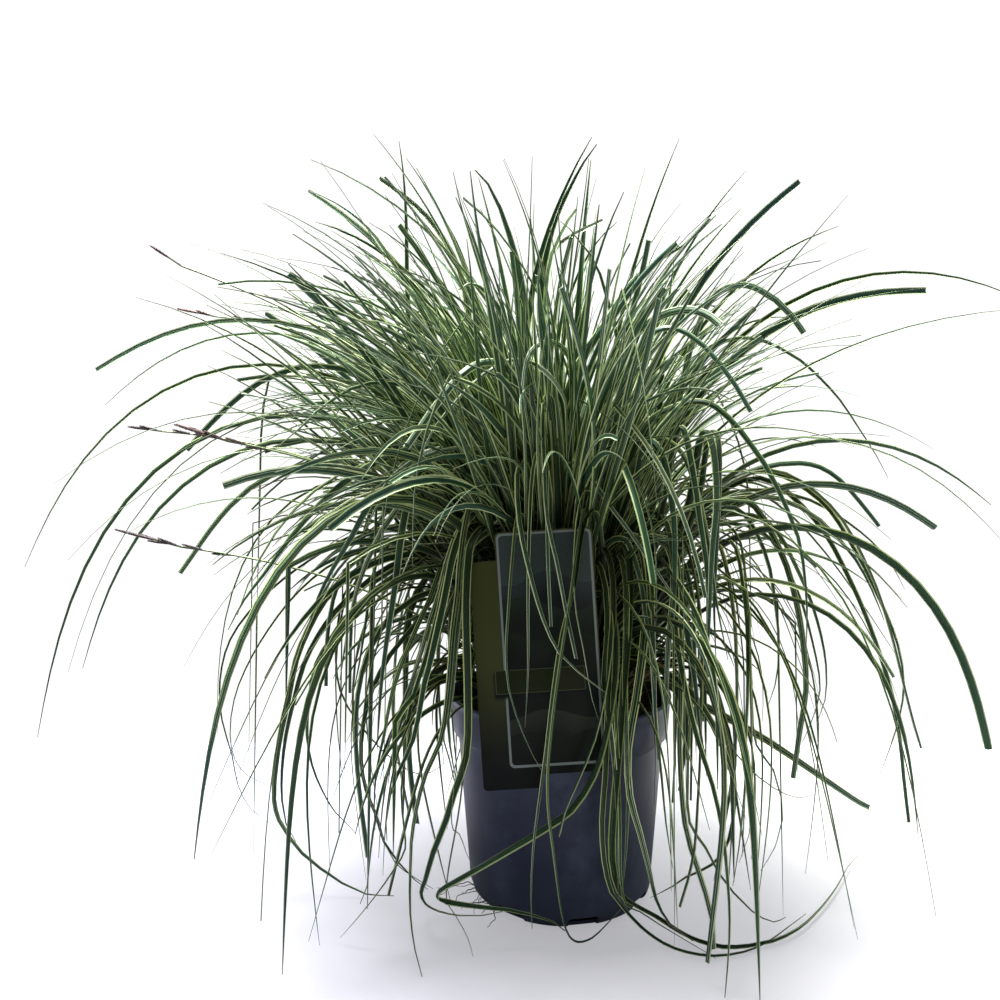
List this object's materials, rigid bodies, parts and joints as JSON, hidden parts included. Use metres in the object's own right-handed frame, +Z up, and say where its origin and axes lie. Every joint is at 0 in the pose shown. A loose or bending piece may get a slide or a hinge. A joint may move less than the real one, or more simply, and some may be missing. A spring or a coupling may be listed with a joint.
{
  "type": "potted carex sedge",
  "caption": "Clump of arching, narrow variegated sedge leaves with small brown flower heads, growing in a round plastic nursery pot with soil and a hooked-on blank plant label.",
  "frame": {"origin": "centre of the flat underside of the pot's base", "axes": "+Z up along the pot's axis, -Y towards the side that carries the plant label, +X to the right of someone who reads the label"},
  "size_m": [0.899, 0.6742, 0.655],
  "materials": {
    "pot": "dark blue-grey moulded polypropylene, fine matt grain",
    "soil": "moist peat and bark potting mix",
    "label": null,
    "leaves": "fresh leaf, dark green middle with cream-yellow margins, soft gloss",
    "flowers": "dry brown overlapping scales"
  },
  "bodies": {
    "root": {"pot": "pot", "soil": "soil", "label": "label", "leaves_centre_1": "leaves", "leaves_centre_2": "leaves", "leaves_centre_3": "leaves", "leaves_centre_4": "leaves", "leaves_centre_5": "leaves", "leaves_inner_1": "leaves", "leaves_inner_2": "leaves", "leaves_inner_3": "leaves", "leaves_inner_4": "leaves", "leaves_inner_5": "leaves", "leaves_inner_6": "leaves", "leaves_inner_7": "leaves", "leaves_inner_8": "leaves", "leaves_inner_9": "leaves", "leaves_middle_1": "leaves", "leaves_middle_2": "leaves", "leaves_middle_3": "leaves", "leaves_middle_4": "leaves", "leaves_middle_5": "leaves", "leaves_middle_6": "leaves", "leaves_middle_7": "leaves", "leaves_middle_8": "leaves", "leaves_middle_9": "leaves", "leaves_middle_10": "leaves", "leaves_middle_11": "leaves", "leaves_middle_12": "leaves", "leaves_outer_1": "leaves", "leaves_outer_2": "leaves", "leaves_outer_3": "leaves", "leaves_outer_4": "leaves", "leaves_outer_5": "leaves", "leaves_outer_6": "leaves", "leaves_outer_7": "leaves", "leaves_outer_8": "leaves", "leaves_outer_9": "leaves", "leaves_outer_10": "leaves", "leaves_outer_11": "leaves", "leaves_outer_12": "leaves", "leaves_outer_13": "leaves", "leaves_outer_14": "leaves", "flower_head_1": "flowers", "flower_head_2": "flowers", "flower_head_3": "flowers", "flower_head_4": "flowers", "flower_head_5": "flowers", "flower_head_6": "flowers"}
  },
  "joints": []
}
